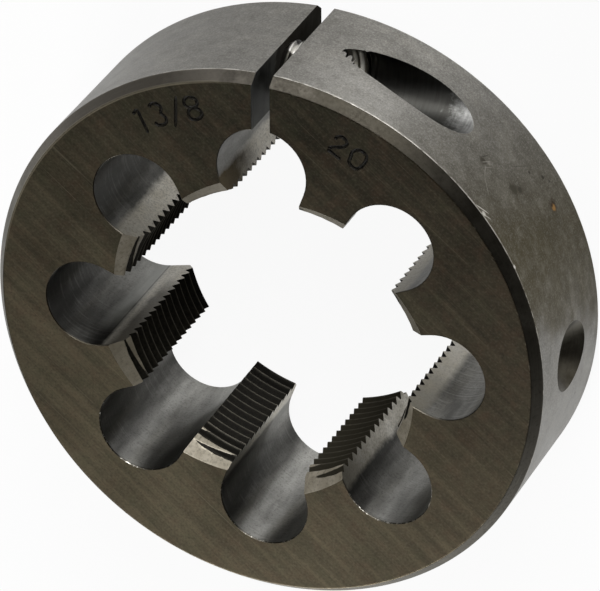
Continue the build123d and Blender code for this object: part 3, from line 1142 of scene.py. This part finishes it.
def stamped_mark_steel(name):
    """Floor and sides of a stamped stroke: near black, a little lighter where the punch dragged."""
    f = Finish(name)
    fine = f.grain(0.3, detail=3)
    colour = f.tones(f.between(fine, 0.4, 0.7), (11, 10, 8), (34, 31, 24))
    f.bump(fine, 0.3, 0.02)
    f.shade("Specular IOR Level", 0.1)
    return f.done(colour, f.between(fine, 0.3, 0.7, 0.5, 0.65), 0.0)


def dark_screw_steel(name):
    """Turned screw: blackened steel with rings about its axis, with a painted highlight on one side of its
    shoulder where it crosses the split, and worn bright on the crests of its thread."""
    f = Finish(name)
    marks = f.grain((0.2, 3, 3), detail=3)
    fine = f.grain(0.35, detail=3)
    radius = f.from_screw_axis()
    turn = f.sway(f.angle(f.minus(f.z, SCREW_Z), f.minus(f.y, SCREW_Y)), fine, 16)
    # Painted highlight on one side of the shoulder where it crosses the split.
    shoulder = f.times(f.line(f.sway(f.x, fine, 0.5), 1.1), f.between(radius, 2.4, 2.8))
    shoulder = f.times(shoulder, f.window(turn, -14, -4, 20, 32))
    crest = f.times(f.between(f.sway(radius, fine, 0.2), 2.98, 3.1), 0.7, f.between(f.x, 1.2, 1.8))
    bare = f.between(f.larger(f.between(shoulder, 0.25, 0.6), crest), 0.0, 1.0)
    colour = f.tones(f.between(marks, 0.35, 0.65), (52, 50, 46), (78, 76, 70))
    colour = f.tint(colour, (216, 214, 208), bare)
    f.bump(marks, 0.3, 0.01)
    f.across("X", 0.3)
    return f.done(colour, f.level(bare, 0.42, 0.4))


# Wear on the rim: azimuth in degrees, height, radius and display values
RIM_SPOTS = [
    (29.0, 5.2, 0.9, (54, 42, 26)),
    (28.6, 5.3, 0.5, (152, 114, 62)),
    (29.2, 5.4, 0.3, (62, 44, 22)),
    (34.4, 4.2, 0.3, (58, 54, 46)),
    (37.2, 5.9, 0.22, (64, 60, 52)),
    (37.6, 10.2, 0.9, (70, 66, 55)),
    (36.4, 9.3, 0.6, (66, 62, 52)),
    (-12.1, 6.05, 0.24, (70, 66, 60)),
    (32.9, 3.5, 0.2, (70, 66, 58)),
    (45.8, 11.4, 0.6, (72, 68, 59)),
    (44.5, 10.9, 0.3, (138, 134, 125)),
    (39.2, 17.5, 0.34, (206, 202, 192)),
    (27.3, 17.75, 0.3, (216, 212, 204)),
]
# Scratches on the rim: azimuth, height, slope from level, half length, half width, display values
RIM_SCRATCHES = [
    (45.2, 11.1, 62, 0.9, 0.07, (150, 147, 138)),
    (44.2, 11.5, 58, 0.7, 0.06, (140, 137, 128)),
    (46.1, 10.6, 66, 0.6, 0.07, (54, 50, 44)),
    (40.0, 17.2, 28, 1.1, 0.09, (220, 216, 206)),
    (38.6, 17.4, 30, 0.9, 0.07, (214, 210, 200)),
    (44.3, 12.3, -66, 0.9, 0.06, (150, 147, 138)),
    (42.2, 13.9, -44, 1.4, 0.06, (142, 139, 130)),
    (40.8, 5.0, 4, 1.0, 0.05, (134, 131, 122)),
    (39.4, 6.6, 62, 1.6, 0.04, (60, 56, 47)),
]

FINISHES = [
    dark_face_steel("dark_face_steel", (34, 30, 17), (74, 67, 50)),
    ground_rim_steel("ground_rim_steel"),
    turned_chamfer_steel("turned_chamfer_steel"),
    chip_hole_steel("chip_hole_steel"),
    chip_hole_steel("flank_steel"),
    cut_thread_steel("cut_thread_steel"),
    sawn_split_steel("sawn_split_steel"),
    tapped_bore_steel("tapped_bore_steel"),
    dimple_steel("dimple_steel"),
    stamped_mark_steel("stamped_mark_steel"),
    dark_face_steel("back_face_steel", (46, 42, 33), (68, 63, 51)),
]
screw_steel = dark_screw_steel("screw_steel")


die = cut_away(die_blank(), die_cutters(), FINISHES, 35)
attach(die, "body")
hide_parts("die_body")

set_screw = screw()
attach(set_screw, "screw")
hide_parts("adjusting_screw")


# Camera fitted to the photograph, in units of the outer radius, with the stamped face at height 0
CAMERA_TURN_X = 0.4829
CAMERA_TURN_Y = -0.4547
CAMERA_TURN_Z = -12.5
CAMERA_SHIFT = (-0.1325, -0.1399)
CAMERA_DISTANCE = 19.0045
CAMERA_FOCAL_PIXELS = 5622.38
CAMERA_CENTRE_PIXEL = (301.755, 299.166)
IMAGE_WIDTH, IMAGE_HEIGHT = 600, 591
SENSOR_WIDTH = 36

# Lamps: azimuth and elevation from the die in degrees, side in metres and power in watts
LAMPS = {
    "top_lamp": (110, 60, 0.42, 0.4),
    "rear_lamp": (74, 36, 0.3, 1.3),
    "back_lamp": (82, 14, 0.5, 6.4),
    "front_lamp": (-105, 26, 0.3, 4.4),
}
LAMP_DISTANCE = 0.7


def rotation(axis, angle):
    """Rotation matrix about one axis: cosines on the diagonal and sines off it."""
    c, s = math.cos(angle), math.sin(angle)
    i, j = [k for k in range(3) if k != axis]
    m = np.eye(3)
    m[i, i], m[j, j] = c, c
    m[i, j], m[j, i] = (-s, s) if axis != 1 else (s, -s)
    return m


def photo_camera():
    """Camera at the photograph's viewing angle: its axes are the rows of the fitted turn."""
    turn = rotation(1, CAMERA_TURN_Y) @ rotation(0, CAMERA_TURN_X) @ rotation(2, math.radians(CAMERA_TURN_Z))
    eye = turn.T @ np.array([-CAMERA_SHIFT[0], -CAMERA_SHIFT[1], CAMERA_DISTANCE]) * OUTER_RADIUS
    eye[2] += THICKNESS
    data = bpy.data.cameras.new("photo_camera")
    data.sensor_fit = "HORIZONTAL"
    data.sensor_width = SENSOR_WIDTH
    data.lens = CAMERA_FOCAL_PIXELS / IMAGE_WIDTH * SENSOR_WIDTH
    data.shift_x = -(CAMERA_CENTRE_PIXEL[0] - IMAGE_WIDTH / 2) / IMAGE_WIDTH
    data.shift_y = (CAMERA_CENTRE_PIXEL[1] - IMAGE_HEIGHT / 2) / IMAGE_WIDTH
    data.clip_start, data.clip_end = 0.01, 20
    bpy.context.scene.camera = place_object("photo_camera", data, turn.T, eye / 1000)


def white_where_seen(tree, lit, white, seen, glossy):
    """Mixes a lit shader with plain white light: by one share for rays from the camera, and by another for
    rays from a gloss or a glass."""
    def combine(operation, *values):
        return add_node(tree, "ShaderNodeMath", enumerate(values), operation=operation).outputs[0]

    path = add_node(tree, "ShaderNodeLightPath").outputs
    reflected = combine("MAXIMUM", path["Is Glossy Ray"], path["Is Transmission Ray"])
    share = combine("MULTIPLY_ADD", path["Is Camera Ray"], seen, combine("MULTIPLY", reflected, glossy))
    return add_node(tree, "ShaderNodeMixShader", {0: share, 1: lit.outputs[0], 2: white.outputs[0]}).outputs[0]


def studio_floor():
    """Level floor under the die: a pale matt sheet that keeps the shadow and reads white round it."""
    half = 1.5
    mesh = bpy.data.meshes.new("studio_floor")
    corners = [(-half, -half, 0), (half, -half, 0), (half, half, 0), (-half, half, 0)]
    mesh.from_pydata(corners, [], [(0, 1, 2, 3)])
    floor = place_object("studio_floor", mesh)
    material = bpy.data.materials.new("pale_floor")
    tree = cleared_tree(material)
    matt = add_node(tree, "ShaderNodeBsdfDiffuse", {0: (0.82, 0.82, 0.82, 1)})
    glow = add_node(tree, "ShaderNodeEmission", {0: (1, 1, 1, 1)})
    add_node(tree, "ShaderNodeOutputMaterial", {0: white_where_seen(tree, matt, glow, 0.93, 0.38)})
    mesh.materials.append(material)


def soft_lamp(name, azimuth, elevation, side, power):
    """Square lamp in the direction of two angles in degrees, facing the die: its own +Z points away from it."""
    data = bpy.data.lights.new(name, "AREA")
    data.shape = "SQUARE"
    data.size = side
    data.energy = power
    up = math.radians(elevation)
    back = np.array([*on_circle(math.cos(up), azimuth), math.sin(up)])
    right = np.cross((0, 0, 1), back)
    right /= np.linalg.norm(right)
    place_object(name, data, np.stack([right, np.cross(back, right), back], -1), LAMP_DISTANCE * back)


def studio_light():
    """Dim surroundings that read white where the camera sees them, and the lamps."""
    world = bpy.data.worlds.new("studio")
    tree = cleared_tree(world)
    dim, white = (
        add_node(tree, "ShaderNodeBackground", {0: (1, 1, 1, 1), 1: strength})
        for strength in (0.08, 1.0)
    )
    add_node(tree, "ShaderNodeOutputWorld", {0: white_where_seen(tree, dim, white, 1.0, 0.0)})
    bpy.context.scene.world = world
    for name, (azimuth, elevation, side, power) in LAMPS.items():
        soft_lamp(name, azimuth, elevation, side, power)


photo_camera()
studio_floor()
studio_light()
bpy.context.scene.view_settings.view_transform = "Standard"
